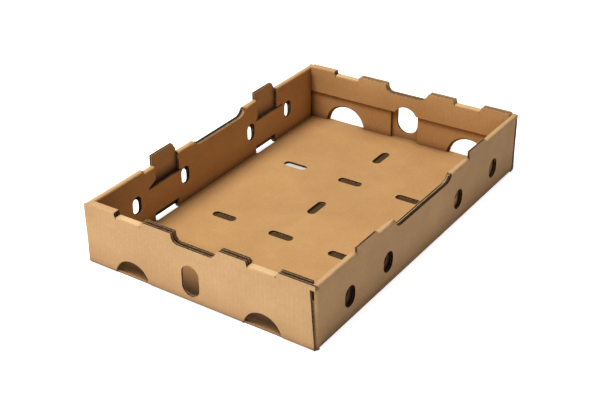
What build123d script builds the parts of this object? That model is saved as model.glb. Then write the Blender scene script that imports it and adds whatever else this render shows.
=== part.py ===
from build123d import *
import os

# Stacking tray folded from one sheet of corrugated board.
# X runs along the short end walls, Y along the long walls, Z up.
# The origin is the middle of the footprint, on the surface that the tray stands on.
# All sizes are in millimetres.

# Board
board = 4.0  # thickness of the sheet
clearance = 0.3  # between layers that lie on each other
fold_inside = 1.0  # inside radius of a fold
crease_round = 2.4  # rounding at the creases of the end walls' top strips
long_crease_round = 3.4  # and of the long walls' top strips

# Outside size
tray_width = 400.0
tray_length = 600.0

# Long walls: outer panel, folded top strip, inner panel down to the floor
strip_top = 101.0
strip_width = 10.0
strip_step = 4.5  # drop of the strip beside one tab of each long wall
left_dip_top = 88.0
right_dip_top = 85.0
long_dip_round = 18.0
left_dip = (247.0, 388.0)  # start and end, from the front of the tray
right_dip = (203.0, 374.0)

# Stacking tabs on the long walls, left standing by the outer panel
tab_length = 58.0
tab_corner = 12.0  # drop of the chamfer on the back corner of a tab
tab_corner_length = 7.0  # and its length along the wall
left_tabs = (150.0, 421.0)  # where the tabs start, from the front of the tray
right_tabs = (102.0, 428.0)
left_tab_rise = 12.5  # above the top of the strip
right_tab_rise = 7.5
left_low_start = 124.0  # the strip is lowered from here to the left dip
right_low_end = 428.0  # and from the right dip to here

# Notch that a tab leaves in the inner panel, with a slit along its bottom
notch_bottom = 63.0
slit_height = 3.0
slit_long_end = 17.0  # how far the slit passes the notch, away from the middle
slit_short_end = 4.0

# Slots at the foot of the long walls, where the tabs of the tray below come in
foot_slot_length = 58.0
foot_slot_start = 5.0  # from the outside of the wall
foot_slot_end = 12.5
foot_slot_shift = 6.0  # how far a slot lies in front of the middle of its tab
foot_notch_height = 13.0  # relief in the inner panel above the slot
left_foot_gap = 6.0  # height of the gap under the left outer panel at a slot

# Oval vents through the long walls
outer_vent_width = 26.0
outer_vent_height = 33.0
outer_vent_middle = 41.0  # height of the middle
inner_vent_width = 20.0
inner_vent_height = 30.0
inner_vent_middle = 50.0
right_inner_shift = 5.0  # the right inner vents lie nearer to the front
left_vents = (103.5, 222.0, 401.5, 512.0)  # middles, from the front of the tray
right_vents = (85.5, 187.0, 398.0, 516.0)

# End walls: outer panel, corner flaps, roll-over panel half way down
end_raised_top = 103.5
end_strip_top = 96.5
end_dip_top = 88.5
end_dip_round = 11.0
end_dip = (-36.0, 34.5)  # ends of its bottom, from the middle of the end wall
inner_rise = (-37.0, 44.5)  # ends of the raised stretches beside the dip
inner_rise_end = 90.0  # the distances below are the same to both sides
end_strip_start = 93.0
end_strip_end = 138.0
outer_rise_start = 141.0
roll_over_edge = 56.0  # height of the lower edge of the roll-over panel
arch_radius = 22.5  # of the arch in its lower edge, above the hand hole
arch_middle = 46.0  # height of the middle of that arch

# Corner flaps, folded from the long walls and tucked behind the end panels
flap_top = 78.0
flap_ends = (-27.5, 24.5)  # of the two flaps of an end wall, from its middle

# Ends of the end panels
end_panel_inset = 0.5  # on the left
slit_foot_inset = 2.5  # on the right at the front, at the floor
slit_head_inset = 9.0  # on the right at the front, at the top of the slit
slit_head = 96.0  # height of the top of the slit

# Holes in the end walls
hand_holes = {  # distance from the middle, width, bottom and top
    -1: (-6.5, 31.0, 10.5, 61.5),  # front
    1: (2.5, 39.0, 16.0, 76.0),  # back
}
half_rounds = {  # distance from the middle, width and height
    -1: (115.0, 64.0, 29.0),  # front
    1: (120.0, 72.0, 35.0),  # back
}
flap_arch_widening = 6.0  # the flaps behind them have larger openings
flap_arch_raise = 4.0
sill_depth = 3.0  # how far the floor's edge lies back in a half-round opening

# Slots in the floor
slot_length = 43.0
slot_width = 15.0
slot_pitch_x = 107.0
slot_pitch_y = 100.0
slot_rows_start = 112.0  # first row, from the front of the tray

# Sizes that follow
half_width = tray_width / 2
half_length = tray_length / 2
fold_outside = fold_inside + board
strip_under = strip_top - board
flap_face = board + clearance  # outside of a flap, from the outside of the end wall
roll_face = flap_face + board + clearance  # near face of the roll-over panel
end_wall = roll_face + board  # thickness of a whole end wall
end_of_wall_panel = half_length - flap_face - fold_outside
foot = board + clearance  # height of the lower edges that stand on the floor
left_low_strip = (left_low_start, sum(left_dip) / 2)
right_low_strip = (sum(right_dip) / 2, right_low_end)


def from_front(distance):
    """Y of a point that is measured from the front of the tray."""
    return distance - half_length


def foot_slot_middle(tab):
    """Y of the middle of the slot that belongs to a tab."""
    return from_front(tab + tab_length / 2 - foot_slot_shift)


def fold(centre, x_dir, y_dir, length):
    """Adds a quarter-round fold beside the two panels that it joins."""
    along = Vector(*x_dir).cross(Vector(*y_dir))
    with BuildSketch(Plane(origin=centre, x_dir=x_dir, z_dir=along)) as section:
        Circle(fold_outside)
        Circle(fold_inside, mode=Mode.SUBTRACT)
        Rectangle(
            fold_outside,
            fold_outside,
            align=(Align.MAX, Align.MAX),
            mode=Mode.INTERSECT,
        )
    extrude(section.sketch, amount=length)


def outline(points, rounded=(), radius=0.0):
    """A flat panel from its corner points, with some of its corners rounded."""
    with BuildSketch() as panel:
        with BuildLine():
            Polyline(*points, close=True)
        make_face()
        corners = [
            corner
            for corner in panel.vertices()
            if any((corner.center() - Vector(*point)).length < 0.01 for point in rounded)
        ]
        if corners:
            fillet(corners, radius)
    return panel.sketch


def long_sheet(x_low, shape, mode=Mode.ADD, depth=board):
    """Stands a panel drawn in Y and Z in a long wall, from x_low towards +X."""
    with BuildSketch(Plane.YZ.offset(x_low)) as panel:
        add(shape)
    extrude(panel.sketch, amount=depth, mode=mode)


def end_sheet(y_high, shape, mode=Mode.ADD, depth=board):
    """Stands a panel drawn in X and Z in an end wall, from y_high towards -Y."""
    with BuildSketch(Plane.XZ.offset(-y_high)) as panel:
        add(shape)
    extrude(panel.sketch, amount=depth, mode=mode)


def slot_shape(width, height, centre):
    """An obround that is longest along its height."""
    with BuildSketch() as hole:
        with Locations(centre):
            SlotOverall(height, width, rotation=90)
    return hole.sketch


def box_shape(x_low, x_high, y_low, y_high):
    """A plain rectangle between two corners."""
    with BuildSketch() as area:
        with Locations(((x_low + x_high) / 2, (y_low + y_high) / 2)):
            Rectangle(x_high - x_low, y_high - y_low)
    return area.sketch


def half_round(offset, width, height):
    """A half-round opening of a height above the ground, cut off just over the floor, in X and Z."""
    drop = (width**2 / 4 - height**2) / (2 * height)
    radius = height + drop
    with BuildSketch() as opening:
        with Locations((offset, -drop)):
            Circle(radius)
        with Locations((offset, foot)):
            Rectangle(
                2 * radius,
                2 * radius,
                align=(Align.CENTER, Align.MIN),
                mode=Mode.INTERSECT,
            )
    return opening.sketch


def strip(plane, width, top, length, crease):
    """A folded top strip: its section has both creases rounded."""
    with BuildSketch(plane) as section:
        with Locations((width / 2, top - board / 2)):
            Rectangle(width, board)
        creases = section.vertices().group_by(Axis.Y)[-1]
        fillet(creases, crease)
    extrude(section.sketch, amount=length)


def strip_spans(tabs, low_strip, ends):
    """Stretches of a long wall between its tabs, each with the height of its strip."""
    stops = [*ends, *low_strip]
    for tab in tabs:
        stops += [tab, tab + tab_length]
    stops = sorted(set(stops))
    spans = []
    for low, high in zip(stops, stops[1:]):
        middle = (low + high) / 2
        if not any(tab < middle < tab + tab_length for tab in tabs):
            lowered = low_strip[0] < middle < low_strip[1]
            spans.append((low, high, strip_top - strip_step if lowered else strip_top))
    return spans


def long_panel(spans, tabs, bottom, tab_top=0.0):
    """Outline of a long wall's panel below its strip, in Y and Z, with its tabs."""
    points = [(from_front(spans[0][0]), bottom)]
    drop = min(tab_corner, tab_top - strip_top - clearance)
    for low, high, top in spans:
        points += [(from_front(low), top - board), (from_front(high), top - board)]
        if high in tabs:
            points += [
                (from_front(high), tab_top),
                (from_front(high + tab_length - tab_corner_length), tab_top),
                (from_front(high + tab_length), tab_top - drop),
            ]
    points.append((from_front(spans[-1][1]), bottom))
    return outline(points)


def dip_shape(dip, dip_top):
    """Space of a long wall's dip, in Y and Z: its ends curve up to the strip."""
    low, high = from_front(dip[0]), from_front(dip[1])
    over = dip_top + 2 * long_dip_round
    corners = [(low, dip_top), (high, dip_top)]
    return outline([*corners, (high, over), (low, over)], corners, long_dip_round)


def notch(tab):
    """Space that a tab leaves in the inner panel, with its slit, in Y and Z."""
    front_half = tab + tab_length / 2 < half_length
    before = slit_long_end if front_half else slit_short_end
    after = slit_short_end if front_half else slit_long_end
    low, high = from_front(tab), from_front(tab + tab_length)
    slit_top = notch_bottom + slit_height
    points = [
        (low - before, notch_bottom),
        (high + after, notch_bottom),
        (high + after, slit_top),
        (high, slit_top),
        (high, strip_top),
        (low, strip_top),
        (low, slit_top + before / 2),
        (low - before, slit_top),
    ]
    return outline(points)


def long_wall(side, tabs, tab_rise, low_strip, dip, dip_top, vents, vent_shift):
    """One long wall with its inner panel. side is -1 on the left and 1 on the right."""
    strip_low = -half_width if side < 0 else half_width - strip_width
    outer_low = -half_width if side < 0 else half_width - board
    inner_low = strip_low + strip_width - board if side < 0 else strip_low
    outer_ends = (half_length - end_of_wall_panel, half_length + end_of_wall_panel)
    inner_ends = (end_wall + clearance, tray_length - end_wall - clearance)
    strip_ends = (flap_face, tray_length - flap_face)

    outer_spans = strip_spans(tabs, low_strip, outer_ends)
    inner_spans = strip_spans((), low_strip, inner_ends)
    outer_panel = long_panel(outer_spans, tabs, fold_outside, strip_top + tab_rise)
    long_sheet(outer_low, outer_panel)
    long_sheet(inner_low, long_panel(inner_spans, (), foot))
    for low, high, top in strip_spans(tabs, low_strip, strip_ends):
        far_end = (strip_low, from_front(high), 0)
        along = Plane(origin=far_end, x_dir=(1, 0, 0), z_dir=(0, -1, 0))
        strip(along, strip_width, top, high - low, long_crease_round)
    long_sheet(strip_low, dip_shape(dip, dip_top), Mode.SUBTRACT, strip_width)

    for tab in tabs:
        long_sheet(inner_low, notch(tab), Mode.SUBTRACT)
        middle = foot_slot_middle(tab)
        low, high = middle - foot_slot_length / 2, middle + foot_slot_length / 2
        long_sheet(inner_low, box_shape(low, high, 0, foot + foot_notch_height), Mode.SUBTRACT)
    for vent in vents:
        outer_middle = (from_front(vent), outer_vent_middle)
        inner_middle = (from_front(vent - vent_shift), inner_vent_middle)
        outer_hole = slot_shape(outer_vent_width, outer_vent_height, outer_middle)
        inner_hole = slot_shape(inner_vent_width, inner_vent_height, inner_middle)
        long_sheet(outer_low, outer_hole, Mode.SUBTRACT)
        long_sheet(inner_low, inner_hole, Mode.SUBTRACT)


def end_top(strip_drop, corner_top, corner_end, rolled):
    """Top line of an end wall's panel from left to right, as points in X and Z."""
    left_rise_top = end_raised_top - (board if rolled else 0)
    strip_level_here = end_strip_top - strip_drop
    corner = half_width - strip_width - clearance
    left = [
        (-corner_end[0], corner_top[0]),
        (-corner, corner_top[0]),
        (-corner, left_rise_top),
        (-outer_rise_start, left_rise_top),
        (-end_strip_end, strip_level_here),
        (-end_strip_start, strip_level_here),
        (-inner_rise_end, end_raised_top),
        (inner_rise[0], end_raised_top),
        (end_dip[0], end_dip_top),
    ]
    right = [
        (end_dip[1], end_dip_top),
        (inner_rise[1], end_raised_top),
        (inner_rise_end, end_raised_top),
        (end_strip_start, strip_level_here),
        (end_strip_end, strip_level_here),
        (outer_rise_start, end_raised_top),
    ]
    if corner_top[1] < end_raised_top:
        right += [(corner, end_raised_top), (corner, corner_top[1])]
    right.append((corner_end[1], corner_top[1]))
    return left + right


def end_wall_panels(side):
    """One end wall. side is -1 at the front and 1 at the back."""
    outer_high = half_length if side > 0 else -half_length + board
    roll_high = half_length - roll_face if side > 0 else -half_length + end_wall
    right_corner = strip_top if side > 0 else end_raised_top
    left_edge = half_width - end_panel_inset
    dip_corners = [(end, end_dip_top) for end in end_dip]

    top = end_top(board, (strip_top, right_corner), (left_edge, left_edge), True)
    right_edge = [(left_edge, fold_outside)]
    if side < 0:
        right_edge = [
            (left_edge, slit_head),
            (half_width - slit_head_inset, slit_head),
            (half_width - slit_foot_inset, fold_outside),
        ]
    outer = [(-left_edge, fold_outside)] + top + right_edge
    end_sheet(outer_high, outline(outer, dip_corners, end_dip_round))

    roll_edge = half_width - board - fold_inside - clearance
    under_strip = strip_under - 2 * clearance
    top = end_top(board, (under_strip, under_strip), (roll_edge, roll_edge), True)
    roll_over = [(-roll_edge, roll_over_edge)] + top + [(roll_edge, roll_over_edge)]
    end_sheet(roll_high, outline(roll_over, dip_corners, end_dip_round))
    with BuildSketch() as arch:
        with Locations((hand_holes[side][0], arch_middle)):
            Circle(arch_radius)
    end_sheet(roll_high, arch.sketch, Mode.SUBTRACT)

    wall_low = half_length - end_wall if side > 0 else -half_length
    left_corner = half_width - strip_width - clearance
    stretches = [
        (-left_corner, -outer_rise_start, end_raised_top),
        (-end_strip_end, -end_strip_start, end_strip_top),
        (end_strip_start, end_strip_end, end_strip_top),
    ]
    for low, high, level in stretches:
        strip(
            Plane(origin=(low, wall_low, 0), x_dir=(0, 1, 0), z_dir=(1, 0, 0)),
            end_wall,
            level,
            high - low,
            crease_round,
        )


def corner_flaps(side_x, side_y):
    """A long wall's fold round one corner, and the flap behind the end panel."""
    centre_x = side_x * (half_width - fold_outside)
    centre_y = side_y * end_of_wall_panel
    if side_x == side_y:
        x_dir, y_dir = (-side_x, 0, 0), (0, -side_y, 0)
    else:
        x_dir, y_dir = (0, -side_y, 0), (-side_x, 0, 0)
    fold((centre_x, centre_y, 0), x_dir, y_dir, strip_under)
    flap_high = side_y * half_length - (flap_face if side_y > 0 else -flap_face - board)
    ends = sorted((flap_ends[0] if side_x < 0 else flap_ends[1], centre_x))
    end_sheet(flap_high, box_shape(ends[0], ends[1], foot, flap_top))


with BuildPart() as tray:
    # Floor and the four folds round it
    with BuildSketch():
        Rectangle(tray_width - 2 * fold_outside, tray_length - 2 * fold_outside)
    extrude(amount=board)
    for side in (-1, 1):
        fold(
            (side * (half_width - fold_outside), -side * end_of_wall_panel, fold_outside),
            (-side, 0, 0),
            (0, 0, 1),
            2 * end_of_wall_panel,
        )
        right_inset = slit_foot_inset if side < 0 else end_panel_inset
        fold_start = -half_width + end_panel_inset if side < 0 else half_width - right_inset
        fold(
            (fold_start, side * (half_length - fold_outside), fold_outside),
            (0, -side, 0),
            (0, 0, 1),
            tray_width - end_panel_inset - right_inset,
        )

    # Walls
    long_wall(
        -1,
        left_tabs,
        left_tab_rise,
        left_low_strip,
        left_dip,
        left_dip_top,
        left_vents,
        0.0,
    )
    long_wall(
        1,
        right_tabs,
        right_tab_rise,
        right_low_strip,
        right_dip,
        right_dip_top,
        right_vents,
        right_inner_shift,
    )
    for side in (-1, 1):
        end_wall_panels(side)
        for side_y in (-1, 1):
            corner_flaps(side, side_y)

    # Hand hole and half-round openings through both end walls
    for side in (-1, 1):
        fold_high = half_length if side > 0 else -half_length + fold_outside
        flap_high = half_length - flap_face if side > 0 else -half_length + flap_face + board
        offset, width, low, high = hand_holes[side]
        hole = slot_shape(width, high - low, (offset, (low + high) / 2))
        end_sheet(fold_high, hole, Mode.SUBTRACT, fold_outside)
        distance, width, height = half_rounds[side]
        for offset in (-distance, distance):
            outer_arch = half_round(offset, width, height)
            end_sheet(fold_high, outer_arch, Mode.SUBTRACT, fold_outside)
            flap_arch = half_round(offset, width + flap_arch_widening, height + flap_arch_raise)
            end_sheet(flap_high, flap_arch, Mode.SUBTRACT)
            sill_face = half_length if side > 0 else -half_length + sill_depth
            sill = box_shape(offset - width / 2, offset + width / 2, 0, foot)
            end_sheet(sill_face, sill, Mode.SUBTRACT, sill_depth)

    # Slots in the floor: rows across the tray between slots that run along it
    across = [
        (column * slot_pitch_x, from_front(slot_rows_start + row * slot_pitch_y))
        for row in (1, 3)
        for column in (-1, 0, 1)
    ]
    along = [(0, from_front(slot_rows_start + row * slot_pitch_y)) for row in (0, 2, 4)]
    with BuildSketch():
        with Locations(*across):
            SlotOverall(slot_length, slot_width)
        with Locations(*along):
            SlotOverall(slot_length, slot_width, rotation=90)
    extrude(amount=board, mode=Mode.SUBTRACT)

    # Slots at the foot of the long walls, below the tabs
    slot_across = foot_slot_end - foot_slot_start
    with BuildSketch():
        for side, tabs in ((-1, left_tabs), (1, right_tabs)):
            slot_x = side * (half_width - foot_slot_start - slot_across / 2)
            middles = [(slot_x, foot_slot_middle(tab)) for tab in tabs]
            with Locations(*middles):
                SlotOverall(foot_slot_length, slot_across, rotation=90)
    extrude(amount=board, mode=Mode.SUBTRACT)
    for tab in left_tabs:
        middle = foot_slot_middle(tab)
        low, high = middle - foot_slot_length / 2, middle + foot_slot_length / 2
        gap = box_shape(low, high, 0, left_foot_gap)
        long_sheet(-half_width, gap, Mode.SUBTRACT, foot_slot_start + slot_across / 2)

tray.part.label = "tray"
os.makedirs("parts", exist_ok=True)
export_step(tray.part, "parts/tray.step")
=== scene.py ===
import math

import bmesh
import bpy
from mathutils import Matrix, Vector, noise
from mathutils.bvhtree import BVHTree

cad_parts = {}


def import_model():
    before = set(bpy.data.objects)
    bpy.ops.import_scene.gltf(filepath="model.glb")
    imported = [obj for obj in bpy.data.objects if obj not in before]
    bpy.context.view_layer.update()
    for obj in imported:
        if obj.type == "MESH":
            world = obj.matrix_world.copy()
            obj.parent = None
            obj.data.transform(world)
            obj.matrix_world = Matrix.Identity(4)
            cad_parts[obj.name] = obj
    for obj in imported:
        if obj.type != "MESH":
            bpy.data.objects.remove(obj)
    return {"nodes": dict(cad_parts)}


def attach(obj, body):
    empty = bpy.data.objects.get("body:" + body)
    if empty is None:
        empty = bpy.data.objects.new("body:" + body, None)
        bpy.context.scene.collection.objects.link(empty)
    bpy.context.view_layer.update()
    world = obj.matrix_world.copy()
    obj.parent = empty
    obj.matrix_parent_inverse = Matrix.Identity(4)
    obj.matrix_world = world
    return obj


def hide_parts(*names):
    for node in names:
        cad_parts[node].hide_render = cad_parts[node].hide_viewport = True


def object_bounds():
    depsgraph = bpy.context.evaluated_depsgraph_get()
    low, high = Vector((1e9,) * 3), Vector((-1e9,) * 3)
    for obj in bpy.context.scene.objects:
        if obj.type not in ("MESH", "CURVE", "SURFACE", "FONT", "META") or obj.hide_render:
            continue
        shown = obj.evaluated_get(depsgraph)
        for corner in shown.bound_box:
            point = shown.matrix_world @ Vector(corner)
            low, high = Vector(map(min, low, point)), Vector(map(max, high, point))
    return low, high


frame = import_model()
cad_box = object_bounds()
HALF_WIDTH, HALF_LENGTH, HEIGHT = cad_box[1]

# The board and the walls folded from it, in metres
MM = 0.001
BOARD = 4.0 * MM
BOARD_GAP = 0.3 * MM  # between panels that lie on each other
WALL_DEPTH = 10.1 * MM  # of a long wall
INNER_PANEL = 2.0 * BOARD  # from a long wall's face to the middle of its inner panel
END_DEPTH = 13.0 * MM  # of an end wall
PAST_END = 1.3 * END_DEPTH  # clear of an end wall
FOLDED_TOPS = (101.0 * MM, 96.5 * MM)  # heights of the long walls' folded tops
END_STRIP_TOP = 96.5 * MM  # height of the end walls' low strips

# The cut edges of the board, in metres
LINER = 0.5 * MM
RECESS = 2.2 * MM  # depth of the hollow between the liners
MEDIUM = 0.35 * MM  # thickness of the fluted paper
FLUTE_PITCH = 7.0 * MM
WAVE_STEP = 0.9 * MM
WAVE_REACH = 0.5 * BOARD - LINER - 0.5 * MEDIUM
WAVE_SUNK = 0.12 * MM  # of the fluted paper below the liners' edges
WAVE_DEPTH = RECESS - 0.1 * MM

# Telling cut faces from liner faces: lengths in metres, and parts of a normal
WELD = 0.002 * MM  # points nearer than this are one
SKIN = 0.01 * MM  # too thin or too short to count
JOIN = 0.05 * MM  # grid on which the ends of segments meet
THICKNESS_SLACK = 0.08 * MM
TOP_SLACK = 0.3 * MM
RAY_REACH = 1.0
TOWARDS_CORNER = 0.6  # how far from a face's centre its other test points lie
FLAT = 0.05
LEANING = 0.1
END_FACING = 0.9
UP_FACING = 0.95
SAME_PLANE = 0.002  # an angle in radians

# Softness of the sheet, in metres
GRID = 25.0 * MM
GRID_START = 0.37 * GRID
WARP = 0.6 * MM
TOP_SINK = 0.7 * WARP
SIDE_BEND = (HALF_WIDTH - 12.0 * BOARD, HALF_WIDTH - 3.0 * BOARD)
END_BEND = (HALF_LENGTH - 14.0 * BOARD, HALF_LENGTH - 4.0 * BOARD)
FOOT_BEND = (0.0, 20.0 * MM)
TOP_BEND = (60.0 * MM, 90.0 * MM)
SWELL_RATE = 7.0  # waves in a metre
SWELL_GAIN = 1.6
RIGHT_SEED, LEFT_SEED, BACK_SEED, FRONT_SEED, TOP_SEED, FLOOR_SEED = 3.1, 7.3, 5.2, 9.4, 1.7, 4.4

# Places of the tray's materials
LINER_SLOT, RIM_SLOT, RECESS_SLOT, MEDIUM_SLOT = range(4)

# Places of the sockets of a colour mix
MIX_FACTOR, MIX_FIRST, MIX_SECOND, MIX_RESULT = 0, 6, 7, 2

# Colours, linear
WHITE = (1.0, 1.0, 1.0)
KRAFT = (0.60, 0.355, 0.165)
KRAFT_DARK = (0.535, 0.305, 0.137)
# Painted light on the upward faces of the folded tops
LIT_CREAM = (0.76, 0.51, 0.258)
RIM = (0.72, 0.49, 0.27)
# Painted shade in the hollows of the cut edges, which stands in for deep flute channels
FLUTE_SHADE_BROWN = (0.15, 0.08, 0.032)
MEDIUM_BROWN = (0.29, 0.17, 0.078)
# Painted light on cut edges: the back wall's top and the inner board in the long walls' dips
PALE_EDGE = (0.80, 0.55, 0.30)
FLOOR_WHITE = (0.92, 0.92, 0.92)
UNDER_BROWN = (0.075, 0.04, 0.015)

# Tints that the paper's colour is multiplied by: painted bounce light and painted shade
# Painted bounce light: the warmer, browner tint inside the tray
BOUNCE_TINT = (1.0, 0.95, 0.80)
SHADE = (0.22, 0.10, 0.04)
CORNER_SHADE = (0.54, 0.47, 0.40)
POCKET_SHADE = (0.10, 0.06, 0.03)
EDGE_SHADE = (0.2, 0.16, 0.13)
FRONT_SHADE = (0.15, 0.115, 0.09)

# Gloss and roughness
SPECULAR = 0.25
PAPER_ROUGHNESS = 0.72
RIM_ROUGHNESS = 0.85
CORE_ROUGHNESS = 0.9
FLOOR_ROUGHNESS = 0.9

# Noises of the paper: scale, detail, lowest and highest factor
BLOTCH = (8.0, 4.0, 0.0, 1.0)
FIBRE = (1.0, 3.0, 0.965, 1.03)
SPECK = (520.0, 2.0, 0.95, 1.045)
MOTTLE = (26.0, 5.0, 0.96, 1.04)
FRAY = (300.0, 3.0, 0.0, 1.0)
NOISE_ENDS = (0.3, 0.7)
FIBRE_STRETCH = (170.0, 300.0, 170.0)

# Relief of the paper, and the painted light and shade of its washboard
WAVE_SHADING_CONTRAST = 0.012
SPECK_RELIEF = 6.0
BUMP_STRENGTH = 0.35
BUMP_DEPTH = 0.12 * MM

# Shade between boards that are near each other: how far it reaches, in metres
CORNER_REACH = 50.0 * MM
FOLD_REACH = 14.0 * MM
EDGE_REACH = 8.0 * MM
DEPTH_SAMPLES = 12

# The inside of the tray, which gets the painted bounce light: where it starts from the outside of
# its walls, in metres
INNER_FROM = (1.5 * BOARD, 1.02 * BOARD)

# Light from the back on the long walls: places along Y, and what is left of the shade there
BACK_LIGHT_PLACES = (50.0 * MM, 200.0 * MM)
BACK_LIGHT_SHADE = (1.0, 0.4)

# The pocket between the two panels of a long wall: depths and heights, in metres
POCKET = (3.2 * MM, 6.3 * MM)
POCKET_HEIGHTS = (66.0 * MM, 86.0 * MM)

# The tops: heights in metres, the part of a normal that faces up, and how much painted light they
# get
TOPS_FROM = 84.0 * MM
LIT_TOP_FACING = (0.8, 0.97)
LIT_TOP_HEIGHTS = (END_STRIP_TOP + 4.0 * MM, END_STRIP_TOP + 6.0 * MM)
LIT_TOP_BY_HEIGHT = (1.0, 0.3)
LIT_TOP_FOLD = (HALF_WIDTH - WALL_DEPTH, HALF_WIDTH - WALL_DEPTH + MM)
LIT_TOP_BY_WALL = (1.0, 0.42)

# The top of the back wall: where it starts, in metres, how much painted light its edges get, and
# how much of the painted shade its paper is spared
BACK_FROM = HALF_LENGTH - 1.1 * END_DEPTH
BACK_TOP_HEIGHTS = (TOPS_FROM, 94.0 * MM)
BACK_EDGE_PALENESS = 0.9
BACK_PAPER_PALENESS = 0.85

# The shade on the floor behind the front wall: places along Y and heights in metres, and strength
FRONT_PLACES = (-HALF_LENGTH + END_DEPTH, -HALF_LENGTH + 130.0 * MM)
FRONT_STRENGTH = (0.92, 0.0)
FRONT_START = (-HALF_LENGTH + 7.0 * MM, -HALF_LENGTH + PAST_END)
FRONT_BELOW = BOARD + 2.0 * MM

# Cut edges of the long walls' vents and dips, with painted shade and painted light: heights and
# places in metres, and strengths
VENT_HEIGHTS = (20.0 * MM, 62.0 * MM)
DIP_REACH = 110.0 * MM  # along the wall from its middle
DIP_LOWEST = 83.0 * MM
DIP_TOPS = (FOLDED_TOPS[1] - 2.0 * MM, FOLDED_TOPS[1])
DIP_STRENGTH = (0.9, 0.0)
DIP_PALENESS = 0.8
OUTER_BOARD = 1.3 * BOARD  # a depth that only a wall's outer board is within

# The floor that the tray stands on, in metres
FLOOR_HALF = 12.0
UNDER_REACH = (0.14, 0.25)  # the dark part under the tray, from its middle
LIT_SLOT = (-0.107, 0.112)  # the one floor slot that light comes through
LIT_REACH = (0.04, 0.03)
LIT_AMOUNT = 0.35
FLOOR_LIFT = 0.85  # of the floor's brightness to the camera

# Light; a lamp has a name, a place, a target, a width, a height, a power and a colour
WORLD_LIGHT = 0.13
LAMPS = (
    ("key", (-0.6, -0.7, 2.5), (0.0, 0.0, 0.05), 1.3, 1.3, 72.0, WHITE),
    ("fill", (-0.9, -2.35, 0.13), (0.0, -0.3, 0.05), 1.6, 0.24, 23.0, (0.93, 1.0, 1.0)),
)

# Camera: metres, degrees and millimetres
CAMERA_PLACE = (0.8669, -1.3289, 0.9317)
CAMERA_TURN = (60.136, 2.514, 37.244)
CAMERA_LENS = 68.54
CAMERA_SENSOR = 36.0
CAMERA_SHIFT = 0.1503
CAMERA_CLIP = (0.05, 60.0)


def new_material(name, colour, roughness):
    """A node material with one shader of a plain colour: (material, its node tree, the shader)."""
    material = bpy.data.materials.new(name)
    material.use_nodes = True
    tree = material.node_tree
    tree.nodes.clear()
    output = tree.nodes.new("ShaderNodeOutputMaterial")
    shader = tree.nodes.new("ShaderNodeBsdfPrincipled")
    shader.inputs["Base Color"].default_value = (*colour, 1.0)
    shader.inputs["Roughness"].default_value = roughness
    shader.inputs["Specular IOR Level"].default_value = SPECULAR
    tree.links.new(shader.outputs["BSDF"], output.inputs["Surface"])
    return material, tree, shader


def feed(tree, socket, value):
    """Gives a socket a number, a colour or another node's result."""
    if isinstance(value, float):
        socket.default_value = value
    elif isinstance(value, tuple):
        socket.default_value = (*value, 1.0)
    else:
        tree.links.new(value, socket)


def maths(tree, operation, *values):
    """One operation on its inputs, each a socket or a number."""
    node = tree.nodes.new("ShaderNodeMath")
    node.operation = operation
    for socket, value in zip(node.inputs, values):
        feed(tree, socket, value)
    return node.outputs["Value"]


def ramp(tree, value, ends, results):
    """An even change from one result to the other between two ends of a value."""
    node = tree.nodes.new("ShaderNodeMapRange")
    node.inputs["From Min"].default_value, node.inputs["From Max"].default_value = ends
    node.inputs["To Min"].default_value, node.inputs["To Max"].default_value = results
    tree.links.new(value, node.inputs["Value"])
    return node.outputs["Result"]


def cloud(tree, place, scale, detail, low, high):
    """A noise over the object, as a factor between low and high."""
    node = tree.nodes.new("ShaderNodeTexNoise")
    node.inputs["Scale"].default_value = scale
    node.inputs["Detail"].default_value = detail
    tree.links.new(place, node.inputs["Vector"])
    return ramp(tree, node.outputs["Fac"], NOISE_ENDS, (low, high))


def blend(tree, kind, factor, first, second):
    """A colour from two, each a socket or a colour."""
    node = tree.nodes.new("ShaderNodeMix")
    node.data_type = "RGBA"
    node.blend_type = kind
    for index, value in ((MIX_FACTOR, factor), (MIX_FIRST, first), (MIX_SECOND, second)):
        feed(tree, node.inputs[index], value)
    return node.outputs[MIX_RESULT]


def tinted(tree, colour, tint):
    """A colour multiplied by another."""
    return blend(tree, "MULTIPLY", 1.0, colour, tint)


def darker(tree, amount, colour, shade):
    """A colour that is multiplied by a shade, by an amount."""
    return blend(tree, "MIX", amount, colour, tinted(tree, colour, shade))


def shaded(tree, colour, reach, shade):
    """A colour that is multiplied by a shade where other surfaces are near."""
    depth = tree.nodes.new("ShaderNodeAmbientOcclusion")
    depth.samples = DEPTH_SAMPLES
    depth.inputs["Distance"].default_value = reach
    return blend(tree, "MIX", depth.outputs["AO"], tinted(tree, colour, shade), colour)


def parts(tree, output):
    """X, Y and Z of a place on the object, or of the way its surface faces there."""
    node = tree.nodes.new("ShaderNodeSeparateXYZ")
    tree.links.new(tree.nodes.new("ShaderNodeTexCoord").outputs[output], node.inputs["Vector"])
    return node.outputs["X"], node.outputs["Y"], node.outputs["Z"]


def product(tree, first, *others):
    """The product of some values, such as masks, each a socket or a number."""
    for other in others:
        first = maths(tree, "MULTIPLY", first, other)
    return first


def above(tree, value, limit):
    """1 where a value is more than a limit."""
    return maths(tree, "GREATER_THAN", value, limit)


def below(tree, value, limit):
    """1 where a value is less than a limit."""
    return maths(tree, "LESS_THAN", value, limit)


def unsigned(tree, value):
    """A value without its sign."""
    return maths(tree, "ABSOLUTE", value)


def within(tree, value, half):
    """1 where a coordinate lies no further than half from the middle."""
    return below(tree, unsigned(tree, value), half)


def away_from_back(tree, y):
    """1 in the front half of a long wall, less towards the back, where more light comes in."""
    return ramp(tree, y, BACK_LIGHT_PLACES, BACK_LIGHT_SHADE)


def back_top(tree):
    """1 at the top of the back wall, which faces the light."""
    _, y, z = parts(tree, "Object")
    return product(tree, above(tree, y, BACK_FROM), ramp(tree, z, BACK_TOP_HEIGHTS, (0.0, 1.0)))


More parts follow.
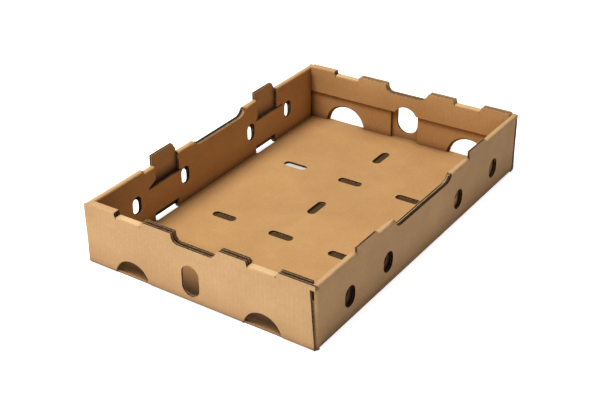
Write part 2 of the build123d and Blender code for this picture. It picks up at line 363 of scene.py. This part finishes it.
def bounce_lit_inside(tree, colour):
    """The paper on the inner side of the tray, a little browner: painted warm light bounced
    between the boards.
    """
    x, y, _ = parts(tree, "Object")
    in_width = within(tree, x, HALF_WIDTH - INNER_FROM[0])
    in_length = within(tree, y, HALF_LENGTH - INNER_FROM[1])
    return darker(tree, product(tree, in_width, in_length), colour, BOUNCE_TINT)


def lit_tops(tree, colour):
    """The folded tops, paler on their upward faces: painted light, most on the end walls' low
    strips.
    """
    x, _, z = parts(tree, "Object")
    _, _, facing = parts(tree, "Normal")
    upward = ramp(tree, facing, LIT_TOP_FACING, (0.0, 1.0))
    by_height = ramp(tree, z, LIT_TOP_HEIGHTS, LIT_TOP_BY_HEIGHT)
    by_wall = ramp(tree, unsigned(tree, x), LIT_TOP_FOLD, LIT_TOP_BY_WALL)
    top_light = product(tree, upward, above(tree, z, TOPS_FROM), by_height, by_wall)
    return blend(tree, "MIX", top_light, colour, LIT_CREAM)


def behind_front(tree, colour):
    """The floor close behind the front wall, where the light from the front doesn't come."""
    _, y, z = parts(tree, "Object")
    near = ramp(tree, y, FRONT_PLACES, FRONT_STRENGTH)
    inside = ramp(tree, y, FRONT_START, (0.0, 1.0))
    amount = product(tree, near, inside, below(tree, z, FRONT_BELOW))
    return darker(tree, amount, colour, FRONT_SHADE)


def in_pocket(tree, colour):
    """The same paper deep between the two panels of a long wall, where little light comes."""
    x, y, z = parts(tree, "Object")
    outside = unsigned(tree, x)
    amount = product(
        tree,
        above(tree, outside, HALF_WIDTH - POCKET[1]),
        below(tree, outside, HALF_WIDTH - POCKET[0]),
        within(tree, y, HALF_LENGTH - END_DEPTH),
        ramp(tree, z, POCKET_HEIGHTS, (1.0, 0.0)),
        away_from_back(tree, y),
    )
    return darker(tree, amount, colour, POCKET_SHADE)


def edge_light(tree, colour):
    """A cut edge's colour in the place where it lies.

    It has painted shade, nearly black, in the long walls' vents. In their dips the outer board has
    painted shade and the inner one painted light, and the top of the back wall has painted light.
    """
    x, y, z = parts(tree, "Object")
    outside = unsigned(tree, x)
    in_wall = above(tree, outside, HALF_WIDTH - WALL_DEPTH)
    vent = product(
        tree,
        in_wall,
        within(tree, y, HALF_LENGTH - PAST_END),
        above(tree, z, VENT_HEIGHTS[0]),
        below(tree, z, VENT_HEIGHTS[1]),
        away_from_back(tree, y),
    )
    dip = product(
        tree,
        ramp(tree, z, DIP_TOPS, DIP_STRENGTH),
        within(tree, y, DIP_REACH),
        above(tree, z, DIP_LOWEST),
    )
    outer_board = above(tree, outside, HALF_WIDTH - OUTER_BOARD)
    inner_board = maths(tree, "SUBTRACT", in_wall, outer_board)
    colour = darker(tree, vent, colour, EDGE_SHADE)
    colour = darker(tree, product(tree, dip, outer_board), colour, EDGE_SHADE)
    colour = blend(tree, "MIX", product(tree, dip, inner_board, DIP_PALENESS), colour, PALE_EDGE)
    return blend(tree, "MIX", product(tree, back_top(tree), BACK_EDGE_PALENESS), colour, PALE_EDGE)


def washboard(tree):
    """The faint waves of the flutes, for their bump and their painted light and shade: bands
    across X, and across Z on the long walls.
    """
    x, _, z = parts(tree, "Object")
    facing, _, _ = parts(tree, "Normal")
    sideways = unsigned(tree, facing)
    upright = maths(tree, "SUBTRACT", 1.0, sideways)
    along = maths(tree, "ADD", product(tree, x, upright), product(tree, z, sideways))
    return maths(tree, "SINE", product(tree, along, 2.0 * math.pi / FLUTE_PITCH))


def kraft_material():
    """Brown kraft liner: slow blotches, fine fibres, a faint washboard, with painted shade in
    folds, corners, pockets and behind the front wall.
    """
    material, tree, shader = new_material("kraft_liner", KRAFT, PAPER_ROUGHNESS)
    place = tree.nodes.new("ShaderNodeTexCoord").outputs["Object"]
    colour = blend(tree, "MIX", cloud(tree, place, *BLOTCH), KRAFT_DARK, KRAFT)
    colour = lit_tops(tree, bounce_lit_inside(tree, colour))
    stretch = tree.nodes.new("ShaderNodeMapping")
    stretch.inputs["Scale"].default_value = FIBRE_STRETCH
    tree.links.new(place, stretch.inputs["Vector"])
    fibre = cloud(tree, stretch.outputs["Vector"], *FIBRE)
    speck = cloud(tree, place, *SPECK)
    mottle = cloud(tree, place, *MOTTLE)
    wave = washboard(tree)
    # Painted light and shade of the washboard waves in the colour
    wave_shading = maths(tree, "MULTIPLY_ADD", wave, WAVE_SHADING_CONTRAST, 1.0)
    gain = product(tree, fibre, speck, mottle, wave_shading)
    grey = tree.nodes.new("ShaderNodeCombineXYZ")
    for socket in grey.inputs:
        tree.links.new(gain, socket)
    plain = behind_front(tree, tinted(tree, colour, grey.outputs["Vector"]))
    colour = shaded(tree, plain, CORNER_REACH, CORNER_SHADE)
    colour = in_pocket(tree, shaded(tree, colour, FOLD_REACH, SHADE))
    # Painted light: the back wall's top keeps its colour without the painted shade of folds and
    # corners
    colour = blend(tree, "MIX", product(tree, back_top(tree), BACK_PAPER_PALENESS), colour, plain)
    tree.links.new(colour, shader.inputs["Base Color"])
    bump = tree.nodes.new("ShaderNodeBump")
    bump.inputs["Strength"].default_value = BUMP_STRENGTH
    bump.inputs["Distance"].default_value = BUMP_DEPTH
    relief = maths(tree, "ADD", wave, product(tree, speck, SPECK_RELIEF))
    tree.links.new(relief, bump.inputs["Height"])
    tree.links.new(bump.outputs["Normal"], shader.inputs["Normal"])
    return material


def rim_material():
    """The cut edge of the liner paper."""
    material, tree, shader = new_material("cut_liner", RIM, RIM_ROUGHNESS)
    place = tree.nodes.new("ShaderNodeTexCoord").outputs["Object"]
    frayed = blend(tree, "MIX", cloud(tree, place, *FRAY), MEDIUM_BROWN, RIM)
    colour = shaded(tree, edge_light(tree, frayed), EDGE_REACH, SHADE)
    tree.links.new(colour, shader.inputs["Base Color"])
    return material


def core_material(name, colour):
    """A part of the board's core, in the light of its place."""
    material, tree, shader = new_material(name, colour, CORE_ROUGHNESS)
    tree.links.new(edge_light(tree, colour), shader.inputs["Base Color"])
    return material


def slab_planes():
    """(axis, place) of the mid-plane of every flat board, across its thickness."""
    planes = [(2, 0.5 * BOARD)]
    for side in (-1.0, 1.0):
        for depth in (0.5 * BOARD, INNER_PANEL):
            planes.append((0, side * (HALF_WIDTH - depth)))
        for layer in range(3):
            depth = (layer + 0.5) * BOARD + layer * BOARD_GAP
            planes.append((1, side * (HALF_LENGTH - depth)))
    return planes


def is_cut(face, tree):
    """True for a face across the board, where its core shows.

    It faces along the floor or the wall that it lies in, and what is behind it isn't just one
    thickness of board.
    """
    centre = face.calc_center_median()
    flat = [abs(c) < FLAT for c in face.normal]
    in_side = abs(centre.x) > HALF_WIDTH - WALL_DEPTH and flat[0]
    in_end = abs(centre.y) > HALF_LENGTH - END_DEPTH and flat[1]
    in_floor = centre.z < BOARD and flat[2]
    if not (in_side or in_end or in_floor):
        return False
    faces_end = abs(face.normal.y) > END_FACING
    if in_floor and faces_end and abs(centre.y) > HALF_LENGTH - BOARD:
        return False
    on_top = any(abs(centre.z - top) < TOP_SLACK for top in FOLDED_TOPS)
    if in_side and face.normal.z > UP_FACING and on_top:
        return False
    for point in [centre] + [centre.lerp(v.co, TOWARDS_CORNER) for v in face.verts]:
        hit = tree.ray_cast(point - face.normal * SKIN, -face.normal, RAY_REACH)
        if hit[3] is not None and abs(hit[3] - BOARD) < THICKNESS_SLACK:
            return False
    return True


def cut_segments(faces, axis, place):
    """Where the cut faces of one flat board cross its mid-plane: (start, end, outward normal)."""
    segments = []
    for face in faces:
        if abs(face.normal[axis]) > LEANING:
            continue
        if abs(face.calc_center_median()[axis] - place) > 0.5 * BOARD:
            continue
        points = []
        for edge in face.edges:
            a = edge.verts[0].co
            b = edge.verts[1].co
            if (a[axis] - place) * (b[axis] - place) < 0.0:
                points.append(a.lerp(b, (place - a[axis]) / (b[axis] - a[axis])))
        if len(points) == 2 and (points[0] - points[1]).length > SKIN:
            segments.append((points[0], points[1], face.normal.copy()))
    return segments


def chains(segments):
    """Joins segments end to end into lists of (start, end, outward normal)."""
    def key(point):
        return tuple(round(c / JOIN) for c in point)

    at = {}
    for index, (a, b, _) in enumerate(segments):
        at.setdefault(key(a), []).append(index)
        at.setdefault(key(b), []).append(index)

    def at_an_end(index):
        return min(len(at[key(point)]) for point in segments[index][:2]) == 1

    left = set(range(len(segments)))
    result = []
    while left:
        index = min([i for i in left if at_an_end(i)] or left)
        a, b, normal = segments[index]
        if len(at[key(a)]) > len(at[key(b)]):
            a, b = b, a
        left.discard(index)
        path = [(a, b, normal)]
        while True:
            following = [i for i in at[key(b)] if i in left]
            if not following:
                break
            index = following[0]
            c, d, normal = segments[index]
            if key(d) == key(b):
                c, d = d, c
            left.discard(index)
            path.append((c, d, normal))
            b = d
        result.append(path)
    return result


def resampled(path):
    """Even steps along a chain, each with its outward normal."""
    samples = []
    for a, b, normal in path:
        count = max(1, round((b - a).length / WAVE_STEP))
        samples += [(a.lerp(b, i / count), normal) for i in range(count)]
    samples.append((path[-1][1], path[-1][2]))
    return samples


def add_wave(bm, axis, path):
    """The fluted paper along one cut edge; its flutes run along Y in a floor and its walls."""
    across = Vector((0.0, 0.0, 0.0))
    across[axis] = 1.0
    half = across * 0.5 * MEDIUM
    measure = 2 if axis == 0 else 0
    rows = []
    for point, normal in resampled(path):
        shift = WAVE_REACH * math.sin(2.0 * math.pi * point[measure] / FLUTE_PITCH)
        top = point + across * shift - normal * WAVE_SUNK
        foot = top - normal * WAVE_DEPTH
        corners = (foot - half, top - half, top + half, foot + half)
        rows.append([bm.verts.new(corner) for corner in corners])
    for before, after in zip(rows, rows[1:]):
        for i in range(3):
            face = bm.faces.new((before[i], before[i + 1], after[i + 1], after[i]))
            face.material_index = MEDIUM_SLOT


def smooth_step(value, ends):
    """0 before the first end, 1 after the second, with a smooth change between."""
    start, end = ends
    t = min(1.0, max(0.0, (value - start) / (end - start)))
    return t * t * (3.0 - 2.0 * t)


def swell(a, b, seed):
    """A slow wander between 0 and 1 over a plane, about a hand wide."""
    wander = SWELL_GAIN * noise.noise(Vector((a * SWELL_RATE, b * SWELL_RATE, seed)))
    return 0.5 + 0.5 * max(-1.0, min(1.0, wander))


def warp(point):
    """A point of the flat sheet where the real, slightly soft board has it, inside the CAD box."""
    x, y, z = point
    side = smooth_step(abs(x), SIDE_BEND)
    end = smooth_step(abs(y), END_BEND)
    height = smooth_step(z, FOOT_BEND)
    rise = smooth_step(z, TOP_BEND)
    inward_x = WARP * swell(y, z, RIGHT_SEED if x > 0 else LEFT_SEED) * side * height
    inward_y = WARP * swell(x, z, BACK_SEED if y > 0 else FRONT_SEED) * end * height
    down = TOP_SINK * swell(x, y, TOP_SEED) * rise
    up = WARP * swell(x, y, FLOOR_SEED) * (1.0 - side) * (1.0 - end) * (1.0 - rise)
    moved = (x - math.copysign(inward_x, x), y - math.copysign(inward_y, y), z - down + up)
    return Vector([min(max(c, low), high) for c, low, high in zip(moved, *cad_box)])


def cut_along_grid(bm):
    """Divides the sheet's faces by planes a grid step apart, so that it can bend."""
    for axis, reach in enumerate((HALF_WIDTH, HALF_LENGTH, HEIGHT)):
        direction = Vector((0.0, 0.0, 0.0))
        direction[axis] = 1.0
        count = int(reach / GRID)
        for step in range(-count, count + 1):
            place = direction * (step * GRID + GRID_START)
            geometry = bm.verts[:] + bm.edges[:] + bm.faces[:]
            bmesh.ops.bisect_plane(
                bm, geom=geometry, plane_co=place, plane_no=direction, dist=WELD
            )


def rim_faces(bm):
    """The sheet's faces that are marked as cut."""
    return [face for face in bm.faces if face.material_index == RIM_SLOT]


def placed(name, data):
    """A new object of this data, in the scene."""
    thing = bpy.data.objects.new(name, data)
    bpy.context.scene.collection.objects.link(thing)
    return thing


def dressed_tray(node):
    """The folded sheet with real corrugated edges and a little life in its boards."""
    bm = bmesh.new()
    bm.from_mesh(node.data)
    bmesh.ops.remove_doubles(bm, verts=bm.verts, dist=WELD)
    tree = BVHTree.FromBMesh(bm)
    for face in bm.faces:
        face.material_index = RIM_SLOT if is_cut(face, tree) else LINER_SLOT
    cuts = rim_faces(bm)
    waves = []
    for axis, place in slab_planes():
        waves += [(axis, path) for path in chains(cut_segments(cuts, axis, place))]
    bmesh.ops.dissolve_limit(
        bm, angle_limit=SAME_PLANE, verts=bm.verts, edges=bm.edges, delimit={"MATERIAL"}
    )
    cut_along_grid(bm)
    cuts = rim_faces(bm)
    bmesh.ops.inset_region(bm, faces=cuts, thickness=LINER)
    hollow = [face for face in cuts if face.is_valid]
    bmesh.ops.inset_region(bm, faces=hollow, thickness=SKIN, depth=-RECESS)
    for face in hollow:
        if face.is_valid:
            face.material_index = RECESS_SLOT
    for axis, path in waves:
        add_wave(bm, axis, path)
    for vert in bm.verts:
        vert.co = warp(vert.co)
    mesh = bpy.data.meshes.new("tray_board")
    bm.to_mesh(mesh)
    bm.free()
    mesh.materials.append(kraft_material())
    mesh.materials.append(rim_material())
    # The hollows' dark colour is painted shade
    mesh.materials.append(core_material("flute_hollow", FLUTE_SHADE_BROWN))
    mesh.materials.append(core_material("fluted_paper", MEDIUM_BROWN))
    piece = placed("tray_board", mesh)
    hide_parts("tray")
    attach(piece, "root")


def looked_at(tree):
    """1 for rays that come from the camera, or by way of a mirror or glass."""
    path = tree.nodes.new("ShaderNodeLightPath").outputs
    mirrored = maths(tree, "MAXIMUM", path["Is Glossy Ray"], path["Is Transmission Ray"])
    return maths(tree, "MAXIMUM", path["Is Camera Ray"], mirrored)


def backdrop_material():
    """White floor, dark under the middle of the tray where no light comes, except at one slot."""
    material, tree, shader = new_material("white_floor", FLOOR_WHITE, FLOOR_ROUGHNESS)
    x, y, _ = parts(tree, "Object")
    from_slot = [maths(tree, "ADD", c, -slot) for c, slot in zip((x, y), LIT_SLOT)]
    lit = product(tree, *[within(tree, c, reach) for c, reach in zip(from_slot, LIT_REACH)])
    under = product(tree, *[within(tree, c, reach) for c, reach in zip((x, y), UNDER_REACH)])
    under = maths(tree, "SUBTRACT", under, product(tree, lit, LIT_AMOUNT))
    colour = blend(tree, "MIX", under, FLOOR_WHITE, UNDER_BROWN)
    tree.links.new(colour, shader.inputs["Base Color"])
    shader.inputs["Emission Color"].default_value = (*WHITE, 1.0)
    seen = product(tree, looked_at(tree), maths(tree, "SUBTRACT", 1.0, under), FLOOR_LIFT)
    tree.links.new(seen, shader.inputs["Emission Strength"])
    return material


def floor():
    """The plain floor that the tray stands on."""
    mesh = bpy.data.meshes.new("floor")
    signs = ((-1, -1), (1, -1), (1, 1), (-1, 1))
    corners = [(a * FLOOR_HALF, b * FLOOR_HALF, 0.0) for a, b in signs]
    mesh.from_pydata(corners, [], [(0, 1, 2, 3)])
    mesh.materials.append(backdrop_material())
    plane = placed("floor", mesh)


def world(strength):
    """White surroundings: full white to the camera, softer as light."""
    scene_world = bpy.data.worlds.new("studio")
    bpy.context.scene.world = scene_world
    scene_world.use_nodes = True
    tree = scene_world.node_tree
    tree.nodes.clear()
    output = tree.nodes.new("ShaderNodeOutputWorld")
    background = tree.nodes.new("ShaderNodeBackground")
    background.inputs["Color"].default_value = (*WHITE, 1.0)
    level = ramp(tree, looked_at(tree), (0.0, 1.0), (strength, 1.0))
    tree.links.new(level, background.inputs["Strength"])
    tree.links.new(background.outputs["Background"], output.inputs["Surface"])


def lamp(name, place, target, width, height, power, colour):
    """A soft box at place that looks at target."""
    light = bpy.data.lights.new(name, "AREA")
    light.shape = "RECTANGLE"
    light.size = width
    light.size_y = height
    light.energy = power
    light.color = colour
    rig = placed(name, light)
    rig.location = place
    rig.rotation_euler = (Vector(target) - Vector(place)).to_track_quat("-Z", "Y").to_euler()


def camera():
    """The camera at the photograph's viewing angle."""
    lens = bpy.data.cameras.new("camera")
    lens.lens = CAMERA_LENS
    lens.sensor_width = CAMERA_SENSOR
    lens.shift_x = CAMERA_SHIFT
    lens.clip_start, lens.clip_end = CAMERA_CLIP
    rig = placed("camera", lens)
    rig.location = CAMERA_PLACE
    rig.rotation_euler = [math.radians(angle) for angle in CAMERA_TURN]
    bpy.context.scene.camera = rig


bpy.context.scene.view_settings.view_transform = "Standard"

dressed_tray(frame["nodes"]["tray"])
floor()
world(WORLD_LIGHT)
for settings in LAMPS:
    lamp(*settings)
camera()
